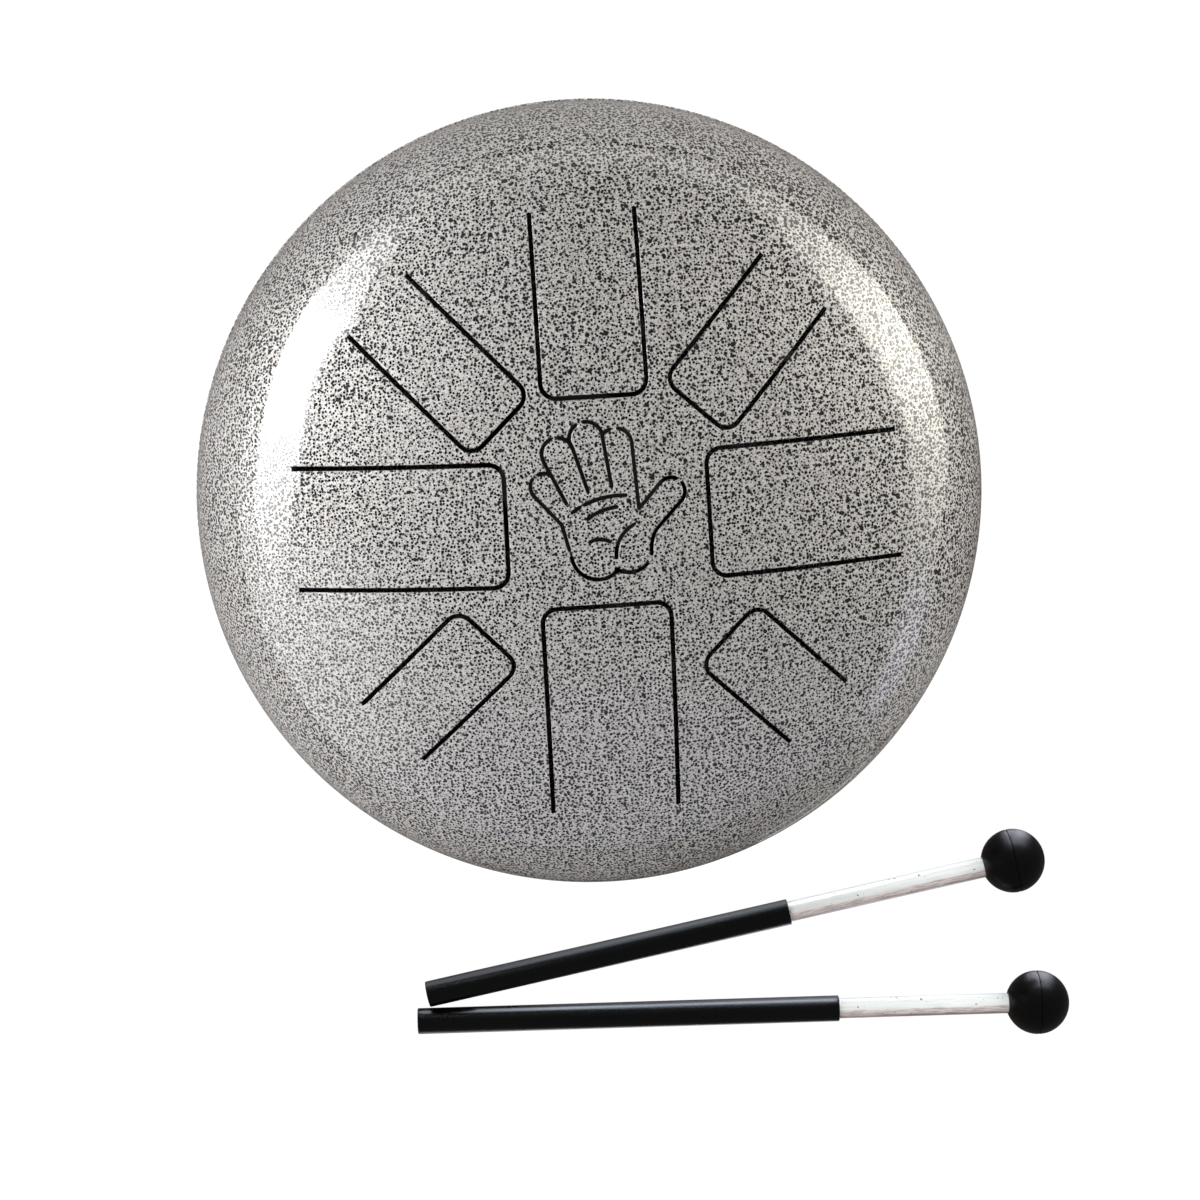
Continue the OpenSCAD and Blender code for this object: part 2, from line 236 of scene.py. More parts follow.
# gleams: cards seen only in gloss, with edge rows of azimuth, lower and upper edge, share of full brightness
far = {"reach": 6000.0, "base": 0.0, "colour": (1.0, 1.0, 1.0), "lights": "drumLit"}
near = {**far, "reach": 550.0, "base": 120.0}
cards = {
    "leftWindow": {**far, "strength": 29.0, "soft": (1.5, 1.0), "edge": [
        (118, 12, 22, 0), (124, 10, 28, 0.09), (132, 10, 37, 0.20), (138, 10, 39, 0.32), (143, 9, 40, 0.60),
        (148, 9, 39, 1), (159, 12, 38.5, 1), (165, 14, 39, 1), (171, 16, 39, 0.62), (178, 16, 38.5, 0.44),
        (185, 17, 37, 0.25), (192, 18, 35, 0.08), (200, 18, 32, 0)]},
    "rightWindow": {**near, "strength": 10.5, "colour": (1.0, 0.97, 0.88), "soft": (1.0, 2.5), "edge": [
        (-22, 5, 29, 0), (-12, 2, 30, 0.16), (-2, -6, 30, 0.34), (6, -7, 30, 0.55), (13, -7, 31, 0.90),
        (20, -6, 32, 1), (30, -5, 33, 0.85), (37, 0, 34, 0.52), (44, 2, 31, 0.34), (52, 4, 21, 0.16),
        (60, 4, 15, 0)]},
    "blueSheen": {**near, "strength": 2.6, "colour": (0.84, 0.85, 1.0), "soft": (6.0, 8.0), "edge": [
        (-48, -8, 8, 0), (-38, -8, 14, 0.7), (-30, -6, 20, 1), (-22, 2, 24, 0.7), (-14, 8, 26, 0)]},
    "leftWall": {**far, "strength": 3.0, "colour": (1.0, 0.985, 1.0), "soft": (8.0, 14.0), "edge": [
        (118, -3, -3, 0), (134, -4, -1, 1.2), (160, -5, 1, 1.2), (178, -5, 16, 0.85), (192, -5, 42, 0.9),
        (208, -5, 48, 0.9), (226, -5, 46, 0.6), (244, -5, 42, 0)]},
    "frontWall": {**far, "strength": 0.52, "colour": (0.70, 0.74, 1.0), "soft": (6.0, 14.0), "edge": [
        (215, -8, 40, 0), (235, -8, 52, 0.8), (270, -8, 60, 1), (300, -8, 52, 0.9), (330, -8, 40, 0)]},
    "backWall": {**far, "strength": 1.8, "colour": (1.0, 0.99, 0.97), "soft": (4.0, 14.0), "edge": [
        (26, -3, 0, 0), (40, -3, 4, 0.9), (62, -3, 18, 1), (85, -3, 18, 0.9), (110, -3, 16, 0.9),
        (132, -3, 10, 0.5), (140, -3, 4, 0)]},
    "backWindow": {**far, "strength": 16.0, "colour": (0.84, 0.84, 1.0), "soft": (2.0, 18.0), "edge": [
        (42, -2, 4, 0), (56, -2, 6, 0.8), (80, -2, 7, 1), (102, -2, 6, 0.8), (114, -2, 4, 0)],
        "lights": "ballsLit"}}
cardGrid = {"columns": 81, "rows": 41, "tipR": 0.8 * drum["rimR"]}   # heights are seen from a point at tipR
# glows near the floor, seen only in gloss: round is (azimuth, share), line is (radius, height, share)
floorRing = {"strength": 1.0, "colour": (1.0, 0.99, 0.98), "columns": 121, "round": [
    (-60, 0), (-45, 0.3), (-30, 0.3), (-15, 0), (0, 0.1), (15, 0.5), (35, 0.4), (60, 0.5), (75, 0.7),
    (110, 0.7), (130, 0.4), (150, 0.3), (170, 0.5), (195, 0.3), (215, 0.4), (232, 0.2),
    (250, 0), (300, 0)], "line": [
    (134, 0.6, 0), (150, 0.6, 0.3), (230, 0.6, 0.7), (460, 0.6, 1.2), (900, 0.6, 1.6), (960, 0.6, 0)]}
ballFan = {"strength": 8.5, "colour": (0.86, 0.88, 1.0), "round": [
    (42, 0), (52, 0.4), (64, 1), (100, 0.9), (113, 0)], "line": [
    (13, 0.5, 0), (18, 0.5, 0.4), (30, 0.5, 0.9), (60, 0.5, 1), (240, 0.5, 1), (270, 0.5, 0)]}
footStrip = {"strength": 10.0, "colour": (0.80, 0.88, 1.0), "columns": 49, "round": [
    (210, 0), (222.5, 1), (317.5, 1), (330, 0)], "line": [
    (128.6, 24, 0), (128.6, 14, 0.4), (128.6, 0.8, 0.4), (142, 0.8, 0.3), (154, 0.8, 0)]}
tableGlow = {"strength": 2.8, "colour": (0.86, 0.90, 1.0), "height": 0.5, "right": (-100.0, 150.0),
             "front": (-215.0, -60.0), "step": 5.0, "ends": (125.0, 150.0), "clear": (3.0, 12.0),
             "drumClear": (126, 131)}
gripBand = {"strength": 16.0, "colour": (0.80, 0.88, 1.0), "offset": 8.5, "columns": 25,
            "rows": [(-0.6, 0.0), (0.8, 1.0), (2.6, 1.0), (4.2, 0.0)],
            "along": [(0.0, 0.3), (0.35, 1.0), (1.0, 0.9)]}
# place, size, power, colour and what the lamp lights
lamps = {"key": ((-1.50, -0.08, 0.90), 1.1, 18.4, (1.0, 0.99, 0.99), "all"),
         "fill": ((1.52, 0.48, 0.54), 1.0, 13.4, (1.0, 0.965, 0.90), "all"),
         "front": ((0.1, -1.5, 1.2), 0.9, 0.8, (0.95, 0.97, 1.0), "all"),
         "malletBack": ((0.2, 1.1, 0.95), 0.8, 13.0, (0.97, 1.0, 1.0), "malletsLit")}


def makeWorld():
    world = bpy.data.worlds.new("studio")
    bpy.context.scene.world = world
    world.use_nodes = True
    world.node_tree.nodes.clear()
    graph = Graph(world.node_tree)
    rays = graph.add("LightPath", {}, "Is Camera Ray")
    gloss = rays.other("Is Glossy Ray").larger(rays.other("Is Transmission Ray"))
    level = studio["worldDiffuse"] + gloss * (studio["worldGlossy"] - studio["worldDiffuse"])
    strength = level + rays * (1.0 - level)
    colour = graph.blend(rays, studio["worldColour"], (1.0, 1.0, 1.0))
    light = graph.add("Background", {"Color": colour, "Strength": strength})
    graph.add("OutputWorld", {"Surface": light})
    bpy.context.scene.view_settings.view_transform = "Standard"


def makeFloor():
    material, graph = newMaterial("floorPaper")
    rays = graph.add("LightPath", {}, "Is Camera Ray")
    tone = graph.blend(rays.other("Is Glossy Ray"), studio["floorColour"], studio["floorInGloss"])
    bounce = graph.add("BsdfDiffuse", {"Color": tone})
    reach = graph.add("VectorMath", {0: graph.spot()}, "Value", operation="LENGTH")
    clear = graph.fade(reach, *studio["paintedShadowUnderDrum"], 0.0, 1.0)   # no glow where the drum covers the floor, which paints a dark disc of shadow under it
    seen = graph.add("BsdfDiffuse", {"Color": (*[studio["floorSeen"]] * 3, 1.0)})
    glow = graph.add("Emission", {"Strength": clear * studio["floorGlow"]})
    shown = graph.add("AddShader", {0: seen, 1: glow})
    both = graph.add("MixShader", {0: rays, 1: bounce, 2: shown})
    graph.add("OutputMaterial", {"Surface": both})
    half = studio["floorSize"] * 500
    floor = newPiece("floor", [(-half, -half, 0), (half, -half, 0), (half, half, 0), (-half, half, 0)],
                     [(0, 1, 2, 3)], material)


# what the cards and lamps light, so that the mallets and the drum each get their own gleams
lit = {name: bpy.data.collections.new(name) for name in (
    "drumLit", "malletsLit", "ballsLit", "shaftsLit", "lowerShaftLit", "upperShaftLit", "lowerBallLit",
    "upperBallLit")}


def asGleam(name, points, rows, glows, card, receivers):   # a grid whose points run column by column
    faces = [(i * rows + j, i * rows + j - 1, (i - 1) * rows + j - 1, (i - 1) * rows + j)
             for i in range(1, len(points) // rows) for j in range(1, rows)]
    material, graph = newMaterial(name + "Light")   # adds its light to what lies behind it
    glow = graph.add("Attribute", {}, "Fac", attribute_name="glow")
    light = graph.add("Emission", {"Color": (*card["colour"], 1.0), "Strength": glow * card["strength"]})
    light = graph.add("AddShader", {0: light, 1: graph.add("BsdfTransparent")})
    graph.add("OutputMaterial", {"Surface": light})
    piece = newPiece(name, points, faces, material)
    piece.data.attributes.new("glow", "FLOAT", "POINT").data.foreach_set("value", glows)
    piece.light_linking.receiver_collection = lit[receivers]
    piece.visible_camera = piece.visible_diffuse = piece.visible_shadow = False


def makeCard(name, card):
    columns, rows, points, glows = cardGrid["columns"], cardGrid["rows"], [], []
    known, *others = np.array(card["edge"], float).T
    azimuths = np.linspace(known[0], known[-1], columns)
    low, high, share = (np.interp(azimuths, known, other) for other in others)
    reach, (under, over) = card["reach"], card["soft"]
    for i, azimuth in enumerate(azimuths):
        for j in range(rows):
            height = low[i] - under + (high[i] - low[i] + under + over) * j / (rows - 1)
            level = card["base"] + (reach - cardGrid["tipR"]) * math.tan(math.radians(height))
            points.append((*polar(reach, azimuth), level))
            inside = min((height - low[i] + under) / (2 * under), (high[i] + over - height) / (2 * over), 1.0)
            inside = max(inside, 0.0)
            glows.append(share[i] * inside * inside * (3 - 2 * inside))
    asGleam(name, points, rows, glows, card, card["lights"])


def makeFan(name, card, receivers, centre=(0, 0)):
    azimuths, shares = zip(*card["round"])
    every = np.linspace(azimuths[0], azimuths[-1], card["columns"]) if "columns" in card else azimuths
    points, glows = [], []
    for azimuth, share in zip(every, np.interp(every, azimuths, shares)):
        for radius, height, across in card["line"]:
            x, y = polar(radius, azimuth)
            points.append((centre[0] + x, centre[1] + y, height))
            glows.append(share * across)
    asGleam(name, points, len(card["line"]), glows, card, receivers)


def malletSpot(i, along, aside=0.0):   # a point beside a mallet's axis, measured from its rear end, in plan
    c, s = polar(1, mallet["headings"][i])
    return along * c - aside * s - mallet["lefts"][i], along * s + aside * c - mallet["fronts"][i]


def makeTableGlow():   # pale table behind the mallets, darker where they touch it
    card, points, glows = tableGlow, [], []
    xs, ys = (np.arange(card[side][0], card[side][1] + 1, card["step"]) for side in ("right", "front"))
    rods = [(Vector(malletSpot(i, 0)), Vector(polar(1, mallet["headings"][i])), mallet["lens"][i])
            for i in range(2)]
    for x in xs:
        for y in ys:
            here = Vector((x, y))
            gap = min((here - start - along * min(max((here - start).dot(along), 0.0), length)).length
                      for start, along, length in rods) - mallet["tubeD"] / 2
            share = np.interp(gap, card["clear"], (0.0, 1.0))
            share *= np.interp(math.hypot(x, y), card["drumClear"], (0.0, 1.0))
            points.append((x, y, card["height"]))
            glows.append(share * np.interp(x, card["ends"], (1.0, 0.0)))
    asGleam("tableGlow", points, len(ys), glows, card, "shaftsLit")


def makeGripBand():   # what the lower grip reflects from the gap between the mallets
    card, points, glows = gripBand, [], []
    for part in np.linspace(0, 1, card["columns"]):
        along = part * mallet["grips"][0]
        axis = mallet["gripD"] / 2 + (mallet["ballD"] - mallet["gripD"]) / 2 * along / mallet["lens"][0]
        for up, share in card["rows"]:
            points.append((*malletSpot(0, along, card["offset"]), axis + up))
            glows.append(share * np.interp(part, *zip(*card["along"])))
    asGleam("gripBand", points, len(card["rows"]), glows, card, "lowerShaftLit")


def makeLamps():
    for name, (place, size, power, colour, receivers) in lamps.items():
        data = bpy.data.lights.new(name, "AREA")
        data.shape, data.size, data.energy, data.color = "DISK", size, power, colour
        lamp = link(bpy.data.objects.new(name, data))
        direction = Vector(place) - Vector(studio["lampAim"])
        lamp.matrix_world = Matrix.Translation(place) @ direction.to_track_quat("Z", "Y").to_matrix().to_4x4()
        lamp.visible_glossy = False
        if receivers in lit:
            lamp.light_linking.receiver_collection = lit[receivers]


makeCamera()
makeWorld()
makeFloor()
for name, card in cards.items():
    makeCard(name, card)
makeFan("footStrip", footStrip, "upperShaftLit")
makeFan("floorRing", floorRing, "drumLit")
makeTableGlow()
for i, receivers in enumerate(("lowerBallLit", "upperBallLit")):
    makeFan(f"ballFan{i + 1}", ballFan, receivers, malletSpot(i, mallet["lens"][i]))
makeGripBand()
makeLamps()
print("stage: camera, floor, thirteen gleam cards and", len(lamps), "lamps")

# Finishes

enamel = {"pale": (0.60, 0.58, 0.565), "dark": (0.0045, 0.0045, 0.005), "metal": 0.15, "roughness": 0.48,
          "specular": 0.12, "coatRoughness": 0.035, "warp": 0.09, "spread": 0.0068, "regular": 0.88,
          # spot layers: cell size, radius, share of the cells that hold a spot, edge softness, in millimetres
          "spots": [(1.20, 0.40, 0.95, 0.05), (2.3, 0.47, 0.80, 0.05), (5.6, 0.66, 0.50, 0.06)],
          "vein": (1.9, 0.53, 0.41, 0.50),   # noise scale per millimetre, fade limits, depth
          # spots: mean size, growth per millimetre to the right and back, growth at the rim, patchiness
          "swell": (0.94, 0.0016, 0.0012, 0.18, 0.40), "grit": (0.00003, 0.7)}


def spotLayer(graph, place, swell, cell, radius, share, soft):
    cells = graph.add("TexVoronoi", {"Vector": place, "Scale": 1 / cell, "Randomness": enamel["regular"]},
                      "Distance", voronoi_dimensions="2D", feature="F1")
    chance = graph.add("SeparateColor", {"Color": cells.other("Color")})
    size = radius / cell * (0.65 + 0.5 * chance) * swell
    mask = graph.fade(cells - size, -soft / cell, soft / cell)
    return mask * (share - chance.other("Green") > 0.0)


def domePlan(graph, place):   # the shells' skin laid flat round the axis, in millimetres
    x, y, z = graph.parts(place)
    drop = crownZ + drum["crownR"] - abs(z - seamZ)
    stretch = 1.0 + enamel["spread"] * drop * drop / (x * x + y * y).root().larger(1.0)
    return graph.add("CombineXYZ", {"X": x * stretch, "Y": y * stretch})


def enamelFinish(name, ripple=0.0):
    material, graph = newMaterial(name)
    place = graph.vector("SCALE", graph.spot(), 1000.0)
    drift = graph.vector("SUBTRACT", graph.noise(place, 0.9, 1.0, 0.5, "Color"), (0.5, 0.5, 0.5))
    plan = graph.vector("ADD", domePlan(graph, place), graph.vector("SCALE", drift, 2 * enamel["warp"]))
    scale, high, low, depth = enamel["vein"]
    dark = graph.fade(graph.noise(place, scale, 1.5, 0.55), low, high) * depth
    cloud = graph.noise(place, 0.03)
    mean, toRight, toBack, toRim, patchy = enamel["swell"]
    x, y, _ = graph.parts(place)
    out = (x * x + y * y) * (1.0 / drum["rimR"] ** 2)
    swell = mean + toRim * out * out + patchy * (cloud - 0.5)
    small, *others = enamel["spots"]
    dark = dark.larger(spotLayer(graph, plan, swell, *small))
    for layer in others:
        dark = dark.larger(spotLayer(graph, plan, swell + toRight * x + toBack * y, *layer))
    tone = 0.55 + 0.20 * cloud + 0.60 * graph.noise(place, 1.9, 1.0)
    colour = graph.blend(dark, graph.blend(tone, (0.0, 0.0, 0.0), enamel["pale"]), enamel["dark"])
    height = 0.6 - 0.6 * dark + 0.5 * graph.noise(place, 0.55)
    surfaceOf(graph, colour, {
        "Metallic": (1.0 - dark) * enamel["metal"], "Roughness": enamel["roughness"] + 0.12 * dark,
        "Specular IOR Level": enamel["specular"], "Coat Weight": 1.0,
        "Coat Roughness": enamel["coatRoughness"], "Coat IOR": 1.5},
        height, enamel["grit"][0] + ripple, enamel["grit"][1])
    return material


def onMallet(graph, place):   # place is the point, slope and heading of a mallet, in metres and radians
    return graph.add("Mapping", {"Vector": graph.spot(), "Location": place[0],
                                 "Rotation": (0.0, place[1], place[2])}, vector_type="TEXTURE")


def rubberFinish(name, colour, roughness, grain, specular=0.35, place=None, streaky=False):
    material, graph = newMaterial(name)
    spot = onMallet(graph, place) if place else graph.spot()
    fine = graph.noise(spot, grain, 3.0, 0.6)
    broad = graph.noise(spot, 60.0, 3.0, 0.6)
    lines = graph.streaks(spot, 14.0, 900.0, 2.0, 0.5) if streaky else broad
    rough = roughness - 0.10 + 0.12 * broad + 0.10 * fine + (0.30 * lines - 0.09 if streaky else 0.0)
    tone = graph.blend(0.35 * broad + 0.3 * lines, colour, tuple(1.9 * c for c in colour))
    height = 0.5 * fine + (0.8 * lines if streaky else 0.3 * broad)
    surfaceOf(graph, tone, {"Roughness": rough, "Specular IOR Level": specular},
              height, 0.00011 if streaky else 0.00006, 0.6)
    return material


def aluminiumWithPaintedShade(name, place):   # satin, paler on its back half and darker, warmer on its front half as painted shade, darkest along the front edge, with grey lines and with brownish streaks and specks on the front half
    material, graph = newMaterial(name)
    spot = onMallet(graph, place)
    across = graph.parts(spot)[1] * 1000.0
    drawn = graph.streaks(spot, 8.0, 1500.0)
    broad = graph.streaks(spot, 30.0, 600.0)
    short = graph.streaks(spot, 170.0, 2300.0)
    specks = graph.fade(graph.noise(spot, 520.0, 2.0, 0.6), 0.29, 0.33)
    # painted shade: the front half of the tube is coloured darker and warmer
    low = graph.fade(across + 1.6 * broad, 0.4, 1.4)
    # painted shade: darker still along the tube's front edge
    edge = graph.fade(across + 0.9 * broad, -2.7, -1.0)
    colour = (0.95, 0.985, 0.98)
    # laid in turn: grey lines, the painted shade of the front half, brown streaks on it, the painted shade of
    # the front edge, and specks
    for share, stainAndShade in ((0.22 * graph.fade(short, 0.42, 0.50), (0.62, 0.64, 0.64)),
                         (low, (0.80, 0.735, 0.715)),
                         (0.75 * (graph.fade(short, 0.40, 0.52) * low), (0.42, 0.32, 0.30)),
                         (0.75 * edge, (0.15, 0.10, 0.09)), (0.8 * specks, (0.22, 0.15, 0.13))):
        colour = graph.blend(share, colour, stainAndShade)
    surfaceOf(graph, colour, {"Metallic": 0.2, "Roughness": 0.27 + 0.16 * drawn, "Specular IOR Level": 0.5},
              drawn + 0.8 * short, 0.00002, 0.5)
    return material


def steelFinish(name, colour, roughness):
    material, graph = newMaterial(name)
    spot = graph.spot()
    fine = graph.noise(spot, 2500.0, 2.0, 0.6)
    tone = graph.blend(graph.noise(spot, 300.0), colour, tuple(0.8 * c for c in colour))
    surfaceOf(graph, tone, {"Metallic": 1.0, "Roughness": roughness + 0.15 * fine}, fine, 0.00001, 0.5)
    return material


shellPaint = enamelFinish("hammeredEnamel")
weldPaint = enamelFinish("weldEnamel", 0.00003)
cutScale = rubberFinish("cutScale", (0.006, 0.006, 0.007), 0.5, 2500.0, 0.25)   # dark walls of the cuts: thin dark paint and cut scale, and painted shade inside the narrow cuts
trimRubber = rubberFinish("trimRubber", (0.014, 0.014, 0.015), 0.55, 1800.0)
footRubber = rubberFinish("footRubber", (0.014, 0.014, 0.015), 0.6, 1500.0)
zincSteel = steelFinish("zincSteel", (0.72, 0.72, 0.74), 0.28)
screwSteel = steelFinish("screwSteel", (0.62, 0.62, 0.65), 0.32)
print("finishes made")

# Top shell and tongues, from one sheet drawn in plan

tongueSet = {"widths": [39.1, 25.6, 32, 25.6, 37.5, 25.6, 39.2, 25.7],
             "tips": [32.9, 44.8, 37.8, 41.7, 28.8, 49.5, 25.8, 53],
             "turns": [0.6, 1.8, -0.1, -1.9, -0.6, -1.6, 0.2, -0.6],
             "rootR": 93.2, "slot": 1.4, "corner": 4.6, "bendReach": 8.0}
hand = {"height": 48.5, "line": 1.2, "right": 1.3, "front": 4.0, "turn": -3.4, "step": 0.34, "arcs": [
    (-0.39, 0.3, 0.085, 62, 118), (-0.39, 0.3, 0.085, 146, 225),
    (-0.305, 0.505, 0.1, 27, 90), (-0.305, 0.505, 0.1, 116, 208),
    (-0.13, 0.6, 0.105, 13, 100), (-0.13, 0.6, 0.105, 126, 210),
    (0.055, 0.565, 0.1, 7, 84), (0.055, 0.565, 0.1, 110, 146),
    (0.4, 0.27, 0.088, -40, 38), (0.4, 0.27, 0.088, 66, 140),
    (-0.055, -0.115, 0.165, 188, 318), (0.14, -0.085, 0.15, 237, 322),
    (0.52, -0.08, 0.24, 152, 190),
    (0.1, -0.265, 0.515, 88, 118), (0.1, -0.265, 0.515, 121, 128),
    (0.1, -0.165, 0.345, 96, 130),
    (0.275, -0.12, 0.215, 118, 186), (-0.04, -0.15, 0.125, 60, 122)], "lines": [
    (-0.45, 0.24, -0.28, 0.065), (-0.28, 0.065, -0.232, -0.095),
    (-0.393, 0.458, -0.25, 0.195), (-0.217, 0.552, -0.115, 0.265),
    (-0.03, 0.623, 0.03, 0.3), (0.154, 0.577, 0.2, 0.165),
    (0.2, 0.165, 0.333, 0.327), (0.467, 0.213, 0.308, 0.033)]}
sheet = {"sheetR": 97.0, "crownEnd": 98.0, "pitch": 2.6, "rowPitch": 0.866, "margin": 1.4, "clear": 0.8,
         "sideStep": 2.4, "cornerSteps": 10, "edge": 0.18, "edgeLeans": (30, 60, 90), "shoulderSteps": 26}


def tongueTurn(k):   # in degrees
    return 45 * k + tongueSet["turns"][k]


def turned(points, degrees):
    c, s = polar(1, degrees)
    return np.array(points) @ np.array([[c, s], [-s, c]])


def stretchOf(start, end, step):   # points from start up to, but not on, end
    start, end = np.array(start, float), np.array(end, float)
    count = max(1, round(np.linalg.norm(end - start) / step))
    return [tuple(start + (end - start) * i / count) for i in range(count)]


def tongueRun(half, tip, radius):   # from the root round the free end and back to the root
    root, step, count = tongueSet["rootR"], sheet["sideStep"], sheet["cornerSteps"]
    points = stretchOf((root, half), (tip + radius, half), step)
    points += arc((tip + radius, half - radius), radius, 90, 180, count)[:-1]
    points += stretchOf((tip, half - radius), (tip, radius - half), step)
    points += arc((tip + radius, radius - half), radius, 180, 270, count)[:-1]
    return points + stretchOf((tip + radius, -half), (root, -half), step) + [(root, -half)]


def slotOutline(k):   # anticlockwise, and how many of its points are on the outer side
    half, slot, corner = tongueSet["widths"][k] / 2, tongueSet["slot"] / 2, tongueSet["corner"]
    outer = tongueRun(half + slot, tongueSet["tips"][k] - slot, corner + slot)
    inner = tongueRun(half - slot, tongueSet["tips"][k] + slot, corner - slot)
    return turned(outer + inner[::-1], tongueTurn(k)), len(outer)


def strokeOutline(points, width):   # a line of that width with round ends
    points = np.array(points, float)
    ahead = np.diff(points, axis=0)
    ahead = np.vstack((ahead[:1], (ahead[:-1] + ahead[1:]) / 2, ahead[-1:]))
    ahead /= np.linalg.norm(ahead, axis=1)[:, None]
    side = np.column_stack((ahead[:, 1], -ahead[:, 0])) * width / 2
    first = math.degrees(math.atan2(-side[0][1], -side[0][0]))
    last = math.degrees(math.atan2(side[-1][1], side[-1][0]))
    return [tuple(p) for p in points + side] + arc(points[-1], width / 2, last, last + 180, 12)[1:-1] + \
        [tuple(p) for p in (points - side)[::-1]] + arc(points[0], width / 2, first, first + 180, 12)[1:-1]


def handOutlines():   # the strokes joined into outlines, evenly spaced and slightly eased
    size, strokes = hand["height"], []
    for x, y, radius, start, end in hand["arcs"]:
        steps = max(4, round((end - start) / 6))
        strokes.append(arc((x * size, y * size), radius * size, start, end, steps))
    strokes += [[(x * size, y * size), (toX * size, toY * size)] for x, y, toX, toY in hand["lines"]]
    points, faces = [], []
    for stroke in strokes:
        placed = turned(strokeOutline(stroke, hand["line"]), hand["turn"]) + (hand["right"], -hand["front"])
        faces.append(list(range(len(points), len(points) + len(placed))))
        points += [Vector(p) for p in placed]
    found, _, triangles, _, _, owners = delaunay_2d_cdt(points, [], faces, 0, 1e-6, True)
    sides = set()
    for triangle, owner in zip(triangles, owners):
        if owner:
            sides.update(zip(triangle, triangle[1:] + triangle[:1]))
    ahead = {a: b for a, b in sides if (b, a) not in sides}
    loops = []
    while ahead:
        start, here = next(iter(ahead.items()))
        loop = [start]
        del ahead[start]
        while here != start:
            loop.append(here)
            here = ahead.pop(here)
        loop = np.array([found[i][:] for i in loop])
        steps = np.linalg.norm(np.roll(loop, -1, 0) - loop, axis=1)
        along = np.concatenate(([0], np.cumsum(steps)))
        count = max(8, round(along[-1] / hand["step"]))
        even = np.linspace(0, along[-1], count, endpoint=False)
        loop = np.vstack((loop, loop[:1]))
        loop = np.column_stack([np.interp(even, along, loop[:, i]) for i in (0, 1)])
        for _ in range(2):
            loop = 0.25 * np.roll(loop, 1, 0) + 0.5 * loop + 0.25 * np.roll(loop, -1, 0)
        loops.append(loop)
    return loops


def sideways(loop):   # unit steps out of an anticlockwise hole, longer at its corners
    ahead = np.roll(loop, -1, 0) - loop
    ahead /= np.linalg.norm(ahead, axis=1)[:, None]
    out = np.column_stack((ahead[:, 1], -ahead[:, 0]))
    before = np.roll(out, 1, 0)
    return (out + before) / np.maximum(1 + np.sum(out * before, axis=1), 0.6)[:, None]


def crownHeight(x, y, inset):
    return seamZ + crownZ + math.sqrt((drum["crownR"] - inset) ** 2 - x * x - y * y)


def crownNormal(x, y):
    return Vector((x, y, math.sqrt(drum["crownR"] ** 2 - x * x - y * y))).normalized()


def shoulderLine():   # (radius, height, outward, upward) from the sheet's edge out, down and back inside
    steps, start, line = sheet["shoulderSteps"], math.pi / 2 - tangentAngle, []
    for inset, sign in ((0.0, 1), (drum["wall"], -1)):
        crownR, shoulderR = drum["crownR"] - inset, drum["shoulderR"] - inset
        arms = [(0, seamZ + crownZ, crownR, math.acos(sheet["crownEnd"] / crownR))]
        arms += [(shoulderX, seamZ + drum["skirt"], shoulderR, start * (1 - i / steps))
                 for i in range(steps + 1)]
        side = [(x + reach * math.cos(lean), z + reach * math.sin(lean), math.cos(lean), math.sin(lean))
                for x, z, reach, lean in arms]
        side.append((drum["rimR"] - inset, seamZ, 1.0, 0.0))
        line += [(r, z, sign * x, sign * y) for r, z, x, y in (side if sign > 0 else side[::-1])]
    return line


